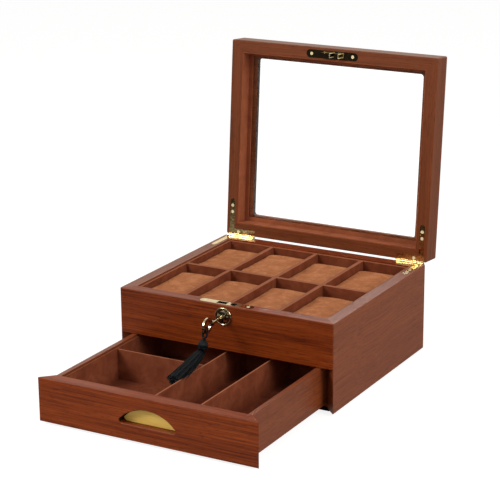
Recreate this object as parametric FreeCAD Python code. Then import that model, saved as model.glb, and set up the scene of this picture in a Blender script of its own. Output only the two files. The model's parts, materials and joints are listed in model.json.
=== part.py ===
import FreeCAD, Part
import math
import os

from FreeCAD import Vector

# Wooden watch box with a drawer and a glazed lid, in millimetres.
# +X is to the right, +Y to the back and +Z up. The origin is the centre of the base board's underside.
# The lid stands open on its stop, the drawer is pulled out and the key hangs in the lock with its tassel.

# Case
case_width = 286.0
case_depth = 254.0
case_height = 109.2
board_thickness = 15.0
arris_radius = 2.0
edge_radius = 0.8
front_panel_height = 55.0
bottom_panel_thickness = 4.6
bottom_panel_setback = 1.5
base_thickness = 2.6
base_side_inset = 11.5
base_end_inset = 13.0

# Watch tray
tray_floor_thickness = 3.0
tray_floor_lip = 1.8
tray_floor_groove = 4.0
tray_liner_thickness = 3.3
tray_liner_drop = 1.9
tray_pad_thickness = 1.5
tray_divider_thickness = 5.0
tray_divider_drop = 1.7
tray_columns = 4
tray_rows = 2

# Watch pillows
pillow_side_clearance = 1.1
pillow_end_clearance = 2.35
pillow_height = 42.0
pillow_crown = 4.2
pillow_top_radius = 14.0
pillow_bottom_radius = 7.0
pillow_draw_in = 2.6
pillow_shoulder_share = 0.2
pillow_base_share = 0.5
pillow_seam_width = 4.0
pillow_seat_gap = 0.3

# Drawer
drawer_travel = 173.3
drawer_length = 233.0
drawer_front_thickness = 15.5
drawer_mitre_gap = 0.5
drawer_top_gap = 0.8
drawer_bottom_gap = 0.4
drawer_side_gap = 1.2
drawer_running_gap = 0.3
drawer_side_thickness = 6.0
drawer_bottom_thickness = 3.0
drawer_bottom_lip = 2.0
drawer_bottom_groove = 3.0
drawer_liner_thickness = 1.7
drawer_liner_drop = 2.9
drawer_pad_thickness = 1.7
drawer_divider_thickness = 2.0
drawer_divider_drop = 3.9
long_divider_1_offset = -0.5
long_divider_2_offset = 58.2
cross_divider_distance = 129.0

# Finger pull in the drawer front
pull_width = 73.8
pull_height = 20.2
pull_rise = 18.6
pull_corner = 4.2
pull_depth = 10.0
pull_offset = 2.0
pull_plate_thickness = 1.2
pull_plate_left_gap = 2.0
pull_plate_gap = 0.3

# Lid
lid_height = 28.5
lid_gap = 0.3
lid_open_angle = 94.76
window_frame_thickness = 6.0
window_side_margin = 27.0
window_end_margin = 24.0
window_corner_radius = 4.0
glass_thickness = 2.5
glass_edge_gap = 0.3
retainer_thickness = 2.0
retainer_width = 6.2
lining_thickness = 1.2
lining_drop = 0.6

# Hinges
hinge_axis_behind = 1.9
hinge_axis_below_rim = 0.45
hinge_barrel_radius = 2.5
hinge_barrel_length = 38.0
hinge_side_inset = 3.5
hinge_knuckles = 5
hinge_knuckle_gap = 0.2
hinge_pin_radius = 1.0
hinge_pin_clearance = 0.05
hinge_leaf_thickness = 1.4
hinge_back_arm_width = 7.5
hinge_side_arm_width = 6.5
hinge_side_arm_centre = 7.9
hinge_side_arm_reach = 47.0
hinge_knuckle_relief = 0.4
hinge_wood_relief = 0.5
hinge_far_screw = 38.0
hinge_near_screw = 29.5
hinge_back_screw = 17.5
plate_edge_gap = 0.15

# Small countersunk screws
screw_head_radius = 2.1
screw_head_height = 1.2
screw_shank_radius = 0.8
screw_length = 8.5
screw_tip_length = 1.6
screw_tip_share = 0.25
screw_slot_width = 0.6
screw_slot_depth = 0.5
screw_sink = 0.05
screw_turn = 35.0
screw_turn_step = 11.0
screw_turn_cycle = 5.0

# Lock
lock_centre_setback = 8.5
lock_plate_length = 71.4
lock_plate_width = 10.0
lock_plate_thickness = 1.4
lock_screw_spacing = 57.0
lock_case_width = 40.0
lock_case_depth = 9.0
lock_case_height = 22.6
lock_case_wall = 0.8
lock_axis_below_rim = 13.7
staple_depth = 8.0
staple_strap = 1.0
staple_gauge = 6.0
staple_spacing = 6.5
left_staple_width = 12.0
right_staple_width = 5.5
staple_slot_gap = 0.6
bolt_thickness = 3.0
bolt_bottom_gap = 0.3
bolt_top_gap = 0.3
bolt_bar = 1.2
bolt_window_half_width = 8.5
bolt_window_low = 4.0
bolt_notch_half_width = 3.0
bolt_notch_depth = 2.3
bolt_hook_gap = 0.4
bolt_hook_post = 1.2
bolt_hook_height = 3.0
bolt_hook_rise = 1.8
rosette_radius = 11.2
rosette_height = 3.2
rosette_rim_height = 1.9
rosette_dome_radius = 7.4
rosette_dome_fullness = 0.75
rosette_groove_width = 1.4
rosette_neck_radius = 6.0

# Key
key_shaft_radius = 2.0
key_bore_clearance = 0.08
key_shaft_length = 24.0
key_collar_radius = 3.1
key_collar_length = 2.2
key_bow_length = 20.0
key_bow_height = 19.0
key_bow_band = 4.0
key_bow_thickness = 2.2
key_tip_reach = 10.5
key_bit_radius = 5.5
key_bit_thickness = 2.0
key_bit_width = 2.6
key_slot_clearance = 0.2

# Tassel
tassel_hook_angle = 55.0
tassel_cord_radius = 0.6
tassel_cord_gap = 0.4
tassel_knot_radius = 2.0
tassel_knot_drop = 7.4
tassel_knot_forward = 2.4
tassel_head_radius = 6.3
tassel_collar_share = 0.75
tassel_head_drop = 14.9
tassel_head_forward = 5.5
tassel_socket_radius = 3.9
tassel_ball_gap = 0.3
tassel_neck_drop = 5.7
tassel_neck_forward = 1.5
tassel_skirt_top_radius = 4.8
tassel_skirt_end_radius = 6.3
tassel_skirt_side = 9.5
tassel_skirt_forward = 51.5
tassel_skirt_drop = 23.1

# Limits for finding edges by their direction
parallel_angle = 2.5
level_tolerance = 0.08

# Planes and heights that many pieces share
left = -case_width / 2
right = case_width / 2
front = -case_depth / 2
back = case_depth / 2
case_bottom = base_thickness
rim = case_bottom + case_height
lid_rim = rim + lid_gap
lid_top = lid_rim + lid_height
hinge_y = back + hinge_axis_behind
hinge_z = rim - hinge_axis_below_rim
lock_y = front + lock_centre_setback
lock_z = rim - lock_axis_below_rim
front_panel_bottom = rim - front_panel_height
tray_floor_bottom = front_panel_bottom + tray_floor_lip
tray_floor_top = tray_floor_bottom + tray_floor_thickness
tray_pad_top = tray_floor_top + tray_pad_thickness
drawer_bottom = case_bottom + drawer_bottom_gap
drawer_top = front_panel_bottom - drawer_top_gap
big = 2 * (case_width + case_depth + case_height)


# Shapes used again and again
def block(x0, x1, y0, y1, z0, z1):
    return Part.makeBox(x1 - x0, y1 - y0, z1 - z0, Vector(x0, y0, z0))


def prism(corners, along):
    outline = Part.makePolygon([Vector(*corner) for corner in corners + corners[:1]])
    return Part.Face(outline).extrude(Vector(*along))


def rod(radius, start, end):
    run = Vector(*end) - Vector(*start)
    return Part.makeCylinder(radius, run.Length, Vector(*start), run)


def ring(x, y0, y1, wall, z0, z1):
    outer = block(-x, x, y0, y1, z0, z1)
    return outer.cut(block(-x + wall, x - wall, y0 + wall, y1 - wall, z0, z1))


def stadium(length, width, x, y, z0, z1):
    reach = (length - width) / 2
    shape = block(x - reach, x + reach, y - width / 2, y + width / 2, z0, z1)
    for end in (x - reach, x + reach):
        shape = shape.fuse(rod(width / 2, (end, y, z0), (end, y, z1)))
    return shape.removeSplitter()


def edges_along(shape, direction):
    found = []
    parallel = math.cos(math.radians(parallel_angle))
    for edge in shape.Edges:
        if edge.Curve.TypeId != "Part::GeomLine":
            continue
        run = edge.Vertexes[-1].Point - edge.Vertexes[0].Point
        if run.Length > 0 and abs(run.normalize().dot(direction)) > parallel:
            found.append(edge)
    return found


def rounded_block(z0, z1):
    shape = block(left, right, front, back, z0, z1)
    return shape.makeFillet(arris_radius, edges_along(shape, Vector(0, 0, 1)))


def outline_solid(z0, z1):
    shape = rounded_block(z0, z1)
    flat = [edge for edge in shape.Edges if edge.BoundBox.ZLength < level_tolerance]
    return shape.makeFillet(edge_radius, flat)


def mirrored(shape):
    return shape.mirror(Vector(0, 0, 0), Vector(1, 0, 0))


def fuse_all(shapes):
    return shapes[0].fuse(shapes[1:]).removeSplitter() if len(shapes) > 1 else shapes[0]


def cut_all(shape, tools):
    for tool in tools:
        shape = shape.cut(tool)
    return shape


# Boards of the case and of the lid, all mitred at the corners
def side_rail(z0, z1):
    plan = [
        (left, front, z0),
        (left, back, z0),
        (left + board_thickness, back - board_thickness, z0),
        (left + board_thickness, front + board_thickness, z0),
    ]
    return prism(plan, (0, 0, z1 - z0))


def front_rail(z0, z1):
    plan = [
        (left, front, z0),
        (right, front, z0),
        (right - board_thickness, front + board_thickness, z0),
        (left + board_thickness, front + board_thickness, z0),
    ]
    return prism(plan, (0, 0, z1 - z0))


def back_rail(z0, z1):
    return front_rail(z0, z1).mirror(Vector(0, 0, 0), Vector(0, 1, 0))


# Countersunk screw with its head just under the face at z, driven along -Z, or +Z for up = -1. It comes with its
# slot and with the hole that it seats in, which is open to that face, so that the head shows.
def screw(x, y, z, up):
    top = z - up * screw_sink
    neck = top - up * screw_head_height
    shoulder = top - up * (screw_length - screw_tip_length)
    tip_radius = screw_shank_radius * screw_tip_share
    drive = Vector(0, 0, -up)
    head = Part.makeCone(screw_head_radius, screw_shank_radius, screw_head_height,
                         Vector(x, y, top), drive)
    shank = rod(screw_shank_radius, (x, y, neck), (x, y, shoulder))
    tip = Part.makeCone(screw_shank_radius, tip_radius, screw_tip_length, Vector(x, y, shoulder), drive)
    floor = top - up * screw_slot_depth
    low, high = min(top, floor), max(top, floor)
    slot = block(x - big, x + big, y - screw_slot_width / 2, y + screw_slot_width / 2, low, high)
    turned = screw_turn + screw_turn_step * math.fmod(x + y, screw_turn_cycle)
    slot.rotate(Vector(x, y, top), Vector(0, 0, 1), turned)
    body = head.fuse([shank, tip]).removeSplitter()
    mouth = rod(screw_head_radius, (x, y, top), (x, y, z + up * screw_sink))
    return body, slot, body.fuse(mouth)


def seats(screws):
    return [seat for body, slot, seat in screws]


# Hinges: an L-shaped leaf let into each rim, with knuckles on one pin behind the back face
barrel_left = left + hinge_side_inset
knuckle_pitch = hinge_barrel_length / hinge_knuckles


def knuckle(index, radius, grow):
    start = barrel_left + index * knuckle_pitch + hinge_knuckle_gap / 2 - grow
    end = barrel_left + (index + 1) * knuckle_pitch - hinge_knuckle_gap / 2 + grow
    return rod(radius, (start, hinge_y, hinge_z), (end, hinge_y, hinge_z))


def leaf_outline(z0, z1, grow):
    half = hinge_side_arm_width / 2
    arm_x = left + hinge_side_arm_centre
    arm_end = back - hinge_side_arm_reach + half
    back_arm = block(barrel_left - grow, barrel_left + hinge_barrel_length + grow,
                     back - hinge_back_arm_width - grow, back, z0, z1)
    side_arm = block(arm_x - half - grow, arm_x + half + grow, arm_end, back, z0, z1)
    round_end = rod(half + grow, (arm_x, arm_end, z0), (arm_x, arm_end, z1))
    return fuse_all([back_arm, side_arm, round_end])


def leaf_screws(z, up):
    arm_x = left + hinge_side_arm_centre
    places = [
        (arm_x, back - hinge_far_screw),
        (arm_x, back - hinge_near_screw),
        (left + hinge_back_screw, back - hinge_back_arm_width / 2),
    ]
    return [screw(x, y, z, up) for x, y in places]


def leaf(z0, z1, own, face, up):
    shape = leaf_outline(z0, z1, 0)
    for index in range(hinge_knuckles):
        if index in own:
            start = barrel_left + index * knuckle_pitch + hinge_knuckle_gap / 2
            end = start + knuckle_pitch - hinge_knuckle_gap
            tongue = block(start, end, back - hinge_back_arm_width, hinge_y, z0, z1)
            shape = shape.fuse([tongue, knuckle(index, hinge_barrel_radius, 0)])
        else:
            clear = hinge_barrel_radius + hinge_knuckle_relief
            shape = shape.cut(knuckle(index, clear, hinge_knuckle_gap))
    bore = hinge_pin_radius + (hinge_pin_clearance if up < 0 else 0)
    start, end = barrel_left - big, barrel_left + big
    shape = shape.cut(rod(bore, (start, hinge_y, hinge_z), (end, hinge_y, hinge_z)))
    return cut_all(shape.removeSplitter(), seats(leaf_screws(face, up)))


def hinge_recess(z0, z1):
    start = (barrel_left - hinge_wood_relief, hinge_y, hinge_z)
    end = (barrel_left + hinge_barrel_length + hinge_wood_relief, hinge_y, hinge_z)
    relief = rod(hinge_barrel_radius + hinge_wood_relief, start, end)
    return leaf_outline(z0, z1, plate_edge_gap).fuse(relief)


case_knuckles = range(0, hinge_knuckles, 2)
lid_knuckles = range(1, hinge_knuckles, 2)
case_leaf = leaf(rim - hinge_leaf_thickness, rim, case_knuckles, rim, 1)
lid_leaf = leaf(lid_rim, lid_rim + hinge_leaf_thickness, lid_knuckles, lid_rim, -1)
case_leaf_screws = leaf_screws(rim, 1)
lid_leaf_screws = leaf_screws(lid_rim, -1)
hinge_pin = rod(hinge_pin_radius, (barrel_left, hinge_y, hinge_z),
                (barrel_left + hinge_barrel_length, hinge_y, hinge_z))
case_hinge_cuts = [hinge_recess(rim - hinge_leaf_thickness, rim + lid_gap)]
case_hinge_cuts += seats(case_leaf_screws)
lid_hinge_cuts = [hinge_recess(lid_rim - lid_gap, lid_rim + hinge_leaf_thickness)]
lid_hinge_cuts += seats(lid_leaf_screws)


# Lock: plate in the rim, case in the front panel, bolt, rosette and the lid's link plate with two staples
lock_top = rim - lock_plate_thickness
lock_case_bottom = lock_top - lock_case_height
lock_case_front = lock_y - lock_case_depth / 2
lock_case_back = lock_y + lock_case_depth / 2
staples_width = left_staple_width + staple_spacing + right_staple_width
left_staple_x = -staples_width / 2
right_staple_x = staples_width / 2 - right_staple_width
staple_spans = [
    (left_staple_x, left_staple_x + left_staple_width),
    (right_staple_x, right_staple_x + right_staple_width),
]
lock_screw_xs = (-lock_screw_spacing / 2, lock_screw_spacing / 2)


def lock_plate_blank(z0, z1, grow):
    return stadium(lock_plate_length + 2 * grow, lock_plate_width + 2 * grow, 0, lock_y, z0, z1)


def plate_screws(z, up):
    return [screw(x, lock_y, z, up) for x in lock_screw_xs]


def make_lock_plate():
    shape = lock_plate_blank(lock_top, rim, 0)
    half = staple_gauge / 2 + staple_slot_gap
    for start, end in staple_spans:
        slot_start = start - staple_slot_gap
        slot_stop = end + staple_slot_gap
        shape = shape.cut(block(slot_start, slot_stop, lock_y - half, lock_y + half, lock_top, rim))
    return cut_all(shape, seats(plate_screws(rim, 1)))


def make_link_plate():
    shape = lock_plate_blank(lid_rim, lid_rim + lock_plate_thickness, 0)
    half = staple_gauge / 2
    for start, end in staple_spans:
        outer = block(start, end, lock_y - half, lock_y + half, lid_rim - staple_depth, lid_rim)
        inner = block(start, end, lock_y - half + staple_strap, lock_y + half - staple_strap,
                      lid_rim - staple_depth + staple_strap, lid_rim)
        shape = shape.fuse(outer.cut(inner))
    return cut_all(shape.removeSplitter(), seats(plate_screws(lid_rim, -1)))


def lock_case_blank():
    half = lock_case_width / 2
    return block(-half, half, lock_case_front, lock_case_back, lock_case_bottom, lock_top)


def keyhole(y0, y1):
    half = key_bit_thickness / 2 + key_slot_clearance
    reach = key_bit_radius + key_slot_clearance
    bore = rod(key_shaft_radius + key_bore_clearance, (0, y0, lock_z), (0, y1, lock_z))
    return bore.fuse(block(-half, half, y0, y1, lock_z - reach, lock_z))


def make_lock_case():
    half = lock_case_width / 2 - lock_case_wall
    room = block(-half, half, lock_case_front + lock_case_wall, lock_case_back - lock_case_wall,
                 lock_case_bottom + lock_case_wall, lock_top)
    return lock_case_blank().cut(room).cut(keyhole(lock_case_front, lock_case_front + lock_case_wall))


def make_lock_bolt():
    y0 = lock_y - bolt_thickness / 2
    y1 = lock_y + bolt_thickness / 2
    low = lock_case_bottom + lock_case_wall + bolt_bottom_gap
    high = lid_rim - staple_depth - bolt_top_gap
    hook_low = lid_rim - staple_depth + bolt_hook_rise
    hook_high = hook_low + bolt_hook_height
    posts = [end + staple_spacing - bolt_hook_gap for start, end in staple_spans]
    shape = block(left_staple_x, posts[1], y0, y1, low, high)
    window_low = lock_z - bolt_window_low
    window = block(-bolt_window_half_width, bolt_window_half_width, y0, y1, window_low, high - bolt_bar)
    notch = block(-bolt_notch_half_width, bolt_notch_half_width, y0, y1,
                  window_low - bolt_notch_depth, window_low)
    shape = shape.cut(window).cut(notch)
    for (start, end), post in zip(staple_spans, posts):
        upright = block(post - bolt_hook_post, post, y0, y1, high - bolt_bar, hook_high)
        tongue = block(end + bolt_hook_gap, post, y0, y1, hook_low, hook_high)
        shape = shape.fuse([upright, tongue])
    return shape.removeSplitter()


def make_rosette_blank():
    bead_start = rosette_dome_radius + rosette_groove_width
    bead_middle = (bead_start + rosette_radius) / 2
    groove = rosette_rim_height / 2
    corners = {
        "crest": Vector(0, front - rosette_height, lock_z),
        "shoulder": Vector(rosette_dome_radius, front - rosette_rim_height, lock_z),
        "groove_in": Vector(rosette_dome_radius, front - groove, lock_z),
        "groove_out": Vector(bead_start, front - groove, lock_z),
        "bead": Vector(bead_middle, front - rosette_rim_height, lock_z),
        "rim": Vector(rosette_radius, front - groove / 2, lock_z),
        "seat": Vector(rosette_radius, front, lock_z),
        "neck": Vector(rosette_neck_radius, front, lock_z),
        "neck_end": Vector(rosette_neck_radius, lock_case_front, lock_z),
        "centre": Vector(0, lock_case_front, lock_z),
    }
    rise = rosette_height - rosette_rim_height
    middle_y = front - rosette_rim_height - rosette_dome_fullness * rise
    middle = Vector(rosette_dome_radius / 2, middle_y, lock_z)
    profile = [
        Part.Arc(corners["crest"], middle, corners["shoulder"]).toShape(),
        Part.makeLine(corners["shoulder"], corners["groove_in"]),
        Part.makeLine(corners["groove_in"], corners["groove_out"]),
        Part.Arc(corners["groove_out"], corners["bead"], corners["rim"]).toShape(),
        Part.makeLine(corners["rim"], corners["seat"]),
        Part.makeLine(corners["seat"], corners["neck"]),
        Part.makeLine(corners["neck"], corners["neck_end"]),
        Part.makeLine(corners["neck_end"], corners["centre"]),
        Part.makeLine(corners["centre"], corners["crest"]),
    ]
    return Part.Face(Part.Wire(profile)).revolve(Vector(0, 0, lock_z), Vector(0, 1, 0), 360)


lock_plate_screws = plate_screws(rim, 1)
link_plate_screws = plate_screws(lid_rim, -1)
rosette_blank = make_rosette_blank()


# Key: a round shaft with a bit at its tip and a pierced oval bow
bow_y = front - rosette_height - key_shaft_length - key_bow_length / 2


def oval(length, height, x0, x1):
    oval_edge = Part.Ellipse(Vector(x0, bow_y, lock_z), length / 2, height / 2)
    edge = oval_edge.toShape()
    edge.rotate(Vector(x0, bow_y, lock_z), Vector(0, 0, 1), 90)
    edge.rotate(Vector(x0, bow_y, lock_z), Vector(0, 1, 0), 90)
    return Part.Face(Part.Wire(edge)).extrude(Vector(x1 - x0, 0, 0))


def make_key():
    half = key_bow_thickness / 2
    bow_back = bow_y + key_bow_length / 2
    tip = front + key_tip_reach
    hole = oval(key_bow_length - 2 * key_bow_band, key_bow_height - 2 * key_bow_band, -half, half)
    shaft = rod(key_shaft_radius, (0, bow_back - key_bow_band / 2, lock_z), (0, tip, lock_z))
    collar = rod(key_collar_radius, (0, bow_back, lock_z), (0, bow_back + key_collar_length, lock_z))
    bit_start = lock_y - key_bit_width / 2
    bit = block(-key_bit_thickness / 2, key_bit_thickness / 2, bit_start, bit_start + key_bit_width,
                lock_z - key_bit_radius, lock_z)
    bow = oval(key_bow_length, key_bow_height, -half, half)
    return fuse_all([bow, shaft, collar, bit]).cut(hole)


# Tassel: a cord loop through the bow, a bound head and a skirt that lies along the drawer's divider
hook_turn = math.radians(tassel_hook_angle)
hook_y = bow_y - (key_bow_length - key_bow_band) / 2 * math.cos(hook_turn)
hook_z = lock_z - (key_bow_height - key_bow_band) / 2 * math.sin(hook_turn)
knot = Vector(0, hook_y - tassel_knot_forward, hook_z - tassel_knot_drop)
head_centre = Vector(0, hook_y - tassel_head_forward, hook_z - tassel_head_drop)
neck = head_centre + Vector(0, -tassel_neck_forward, -tassel_neck_drop)
skirt_run = Vector(-tassel_skirt_side, -tassel_skirt_forward, -tassel_skirt_drop)


def make_tassel_loop():
    down = Vector(0, -tassel_knot_forward, -tassel_knot_drop).normalize()
    half = key_bow_thickness / 2 + tassel_cord_gap + tassel_cord_radius
    rise = key_bow_band / 2 + tassel_cord_gap + tassel_cord_radius + half
    side = Vector(half, 0, 0)
    crest_centre = Vector(0, hook_y, hook_z) - down * (rise - half)
    crest = crest_centre - down * half
    path = Part.Wire([
        Part.makeLine(knot - side, crest_centre - side),
        Part.Arc(crest_centre - side, crest, crest_centre + side).toShape(),
        Part.makeLine(crest_centre + side, knot + side),
        Part.Arc(knot + side, knot + down * half, knot - side).toShape(),
    ])
    section = Part.Wire(Part.makeCircle(tassel_cord_radius, knot - side, down))
    return path.makePipeShell([section], True, False)


def make_tassel_head():
    bead = Part.makeSphere(tassel_head_radius, head_centre)
    knot_ball = Part.makeSphere(tassel_knot_radius + tassel_cord_radius, knot)
    neck_run = knot - head_centre
    collar_radius = tassel_head_radius * tassel_collar_share
    collar = Part.makeCone(collar_radius, tassel_knot_radius, neck_run.Length, head_centre, neck_run)
    return fuse_all([bead, collar, knot_ball]).cut(Part.makeSphere(tassel_socket_radius, neck))


def make_tassel_skirt():
    ball = Part.makeSphere(tassel_socket_radius - tassel_ball_gap, neck)
    cone = Part.makeCone(tassel_skirt_top_radius, tassel_skirt_end_radius, skirt_run.Length,
                         neck, skirt_run)
    cone = cone.cut(Part.makeSphere(tassel_head_radius + tassel_ball_gap, head_centre))
    return ball.fuse(cone).removeSplitter()


# Case boards and panels
tray_floor_side = case_width / 2 - board_thickness + tray_floor_groove
tray_floor_end = case_depth / 2 - board_thickness + tray_floor_groove
tray_floor = block(-tray_floor_side, tray_floor_side, -tray_floor_end, tray_floor_end,
                   tray_floor_bottom, tray_floor_top)
case_outline = outline_solid(case_bottom, rim)


def make_case_side():
    return cut_all(side_rail(case_bottom, rim).common(case_outline), [tray_floor] + case_hinge_cuts)


def make_case_back():
    cuts = [tray_floor] + case_hinge_cuts + [mirrored(cut) for cut in case_hinge_cuts]
    return cut_all(back_rail(case_bottom, rim).common(case_outline), cuts)


def make_case_front():
    cuts = [tray_floor, lock_case_blank(), lock_plate_blank(lock_top, rim, plate_edge_gap), rosette_blank]
    cuts += seats(lock_plate_screws)
    return cut_all(front_rail(front_panel_bottom, rim).common(case_outline), cuts)


def make_bottom_panel():
    start = front + drawer_front_thickness + bottom_panel_setback
    return block(left + board_thickness, right - board_thickness, start, back - board_thickness,
                 case_bottom, case_bottom + bottom_panel_thickness)


def make_base_board():
    return block(left + base_side_inset, right - base_side_inset, front + base_end_inset,
                 back - base_end_inset, 0, base_thickness)


# Watch tray
tray_side = case_width / 2 - board_thickness
tray_end = case_depth / 2 - board_thickness
slot_side = tray_side - tray_liner_thickness
slot_end = tray_end - tray_liner_thickness
slot_width = (2 * slot_side - (tray_columns - 1) * tray_divider_thickness) / tray_columns
slot_length = (2 * slot_end - (tray_rows - 1) * tray_divider_thickness) / tray_rows
tray_divider_top = rim - tray_divider_drop
tray_lap = (tray_pad_top + tray_divider_top) / 2


def column_centre(column):
    return -slot_side + slot_width / 2 + column * (slot_width + tray_divider_thickness)


def row_centre(row):
    return -slot_end + slot_length / 2 + row * (slot_length + tray_divider_thickness)


def cross_divider_x(index):
    return column_centre(index) + (slot_width + tray_divider_thickness) / 2


def long_divider_y(index):
    return row_centre(index) + (slot_length + tray_divider_thickness) / 2


half_divider = tray_divider_thickness / 2


def make_tray_cross_divider(index):
    x = cross_divider_x(index)
    shape = block(x - half_divider, x + half_divider, -slot_end, slot_end, tray_pad_top, tray_divider_top)
    for row in range(tray_rows - 1):
        y = long_divider_y(row)
        shape = shape.cut(block(x - half_divider, x + half_divider, y - half_divider, y + half_divider,
                                tray_lap, tray_divider_top))
    return shape


def make_tray_long_divider(index):
    y = long_divider_y(index)
    shape = block(-slot_side, slot_side, y - half_divider, y + half_divider,
                  tray_pad_top, tray_divider_top)
    for column in range(tray_columns - 1):
        x = cross_divider_x(column)
        shape = shape.cut(block(x - half_divider, x + half_divider, y - half_divider, y + half_divider,
                                tray_pad_top, tray_lap))
    return shape


# Watch pillow: an oval roll with a crowned top, drawn in at its two sewn side panels
pillow_width = slot_width - 2 * pillow_side_clearance
pillow_length = slot_length - 2 * pillow_end_clearance


def pillow_section(x, inset):
    half = pillow_length / 2 - inset
    low = inset * pillow_base_share
    high = pillow_height - pillow_crown - inset
    crest = pillow_height - inset
    top = pillow_top_radius
    foot = pillow_bottom_radius
    bend = math.sqrt(0.5)

    def at(y, z):
        return Vector(x, y, z)

    def corner(y, z, radius, y_sign, z_sign):
        return at(y + y_sign * radius * bend, z + z_sign * radius * bend)

    edges = [
        Part.makeLine(at(-half + foot, low), at(half - foot, low)),
        Part.Arc(at(half - foot, low), corner(half - foot, low + foot, foot, 1, -1),
                 at(half, low + foot)),
        Part.makeLine(at(half, low + foot), at(half, high - top)),
        Part.Arc(at(half, high - top), corner(half - top, high - top, top, 1, 1),
                 at(half - top, high)),
        Part.Arc(at(half - top, high), at(0, crest), at(-half + top, high)),
        Part.Arc(at(-half + top, high), corner(-half + top, high - top, top, -1, 1),
                 at(-half, high - top)),
        Part.makeLine(at(-half, high - top), at(-half, low + foot)),
        Part.Arc(at(-half, low + foot), corner(-half + foot, low + foot, foot, -1, -1),
                 at(-half + foot, low)),
    ]
    return Part.Wire([edge.toShape() if isinstance(edge, Part.Arc) else edge for edge in edges])


def make_pillow():
    edge = pillow_width / 2
    shoulder_inset = pillow_draw_in * pillow_shoulder_share
    stations = [
        (-edge, pillow_draw_in),
        (-edge + pillow_seam_width, shoulder_inset),
        (0, 0),
        (edge - pillow_seam_width, shoulder_inset),
        (edge, pillow_draw_in),
    ]
    return Part.makeLoft([pillow_section(x, inset) for x, inset in stations], True, False)


# Drawer, worked out closed and then pulled out
drawer_side = case_width / 2 - board_thickness - drawer_side_gap
drawer_inner = drawer_side - drawer_side_thickness
drawer_front_back = front + drawer_front_thickness
drawer_end = front + drawer_length
drawer_side_bottom = case_bottom + bottom_panel_thickness + drawer_running_gap
drawer_floor_bottom = drawer_side_bottom + drawer_bottom_lip
drawer_floor_top = drawer_floor_bottom + drawer_bottom_thickness
drawer_pad_top = drawer_floor_top + drawer_pad_thickness
drawer_divider_top = drawer_top - drawer_divider_drop
liner_side = drawer_inner - drawer_liner_thickness
liner_front = drawer_front_back + drawer_liner_thickness
liner_back = drawer_end - drawer_side_thickness - drawer_liner_thickness
pull_low = drawer_bottom + pull_rise


def make_drawer_floor():
    reach = drawer_inner + drawer_bottom_groove
    return block(-reach, reach, drawer_front_back - drawer_bottom_groove,
                 drawer_end - drawer_side_thickness + drawer_bottom_groove,
                 drawer_floor_bottom, drawer_floor_top)


def pull_outline(inset, left_inset, y):
    right_x = pull_offset + pull_width / 2 - inset
    left_x = pull_offset - pull_width / 2 + left_inset
    low = pull_low + inset
    shoulder = low + pull_corner
    bend = pull_corner * (1 - math.sqrt(0.5))
    top = Vector((left_x + right_x) / 2, y, pull_low + pull_height - inset)
    points = [
        Vector(left_x + pull_corner, y, low),
        Vector(right_x - pull_corner, y, low),
        Vector(right_x, y, shoulder),
        Vector(left_x, y, shoulder),
    ]
    return Part.Wire([
        Part.makeLine(points[0], points[1]),
        Part.Arc(points[1], Vector(right_x - bend, y, low + bend), points[2]).toShape(),
        Part.Arc(points[2], top, points[3]).toShape(),
        Part.Arc(points[3], Vector(left_x + bend, y, low + bend), points[0]).toShape(),
    ])


def make_drawer_front():
    offset = drawer_mitre_gap * math.sqrt(2)
    tip = left + offset
    heel = tip + drawer_front_thickness
    plan = [
        (tip, front, drawer_bottom),
        (-tip, front, drawer_bottom),
        (-heel, drawer_front_back, drawer_bottom),
        (heel, drawer_front_back, drawer_bottom),
    ]
    shape = prism(plan, (0, 0, drawer_top - drawer_bottom))
    middle = front + drawer_front_thickness / 2
    face_edges = [edge for edge in edges_along(shape, Vector(1, 0, 0)) if edge.BoundBox.YMax < middle]
    shape = shape.makeFillet(edge_radius, face_edges).common(rounded_block(case_bottom, rim))
    recess = Part.Face(pull_outline(0, 0, front)).extrude(Vector(0, pull_depth, 0))
    bevel = [pull_outline(-edge_radius, -edge_radius, front), pull_outline(0, 0, front + edge_radius)]
    return cut_all(shape, [recess, Part.makeLoft(bevel, True, True), make_drawer_floor()])


def make_pull_plate():
    y = front + pull_depth
    outline = pull_outline(pull_plate_gap, pull_plate_left_gap, y)
    return Part.Face(outline).extrude(Vector(0, -pull_plate_thickness, 0))


def make_drawer_side():
    shape = block(-drawer_side, -drawer_inner, drawer_front_back, drawer_end,
                  drawer_side_bottom, drawer_top)
    return shape.cut(make_drawer_floor())


def make_drawer_back():
    shape = block(-drawer_inner, drawer_inner, drawer_end - drawer_side_thickness, drawer_end,
                  drawer_side_bottom, drawer_top)
    return shape.cut(make_drawer_floor())


def make_drawer_liner():
    return ring(drawer_inner, drawer_front_back, drawer_end - drawer_side_thickness,
                drawer_liner_thickness, drawer_floor_top, drawer_top - drawer_liner_drop)


def make_drawer_pad():
    return block(-liner_side, liner_side, liner_front, liner_back, drawer_floor_top, drawer_pad_top)


def make_drawer_long_divider(offset):
    half = drawer_divider_thickness / 2
    return block(offset - half, offset + half, liner_front, liner_back,
                 drawer_pad_top, drawer_divider_top)


def make_drawer_cross_divider():
    half = drawer_divider_thickness / 2
    y = front + cross_divider_distance
    return block(-liner_side, long_divider_1_offset - half, y - half, y + half,
                 drawer_pad_top, drawer_divider_top)


# Lid, worked out closed and then swung open
lid_outline = outline_solid(lid_rim, lid_top)
frame_bottom = lid_top - window_frame_thickness
glass_bottom = frame_bottom - glass_thickness
retainer_bottom = glass_bottom - retainer_thickness


def make_lid_side():
    return cut_all(side_rail(lid_rim, frame_bottom).common(lid_outline), lid_hinge_cuts)


def make_lid_back():
    cuts = lid_hinge_cuts + [mirrored(cut) for cut in lid_hinge_cuts]
    return cut_all(back_rail(lid_rim, frame_bottom).common(lid_outline), cuts)


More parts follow.
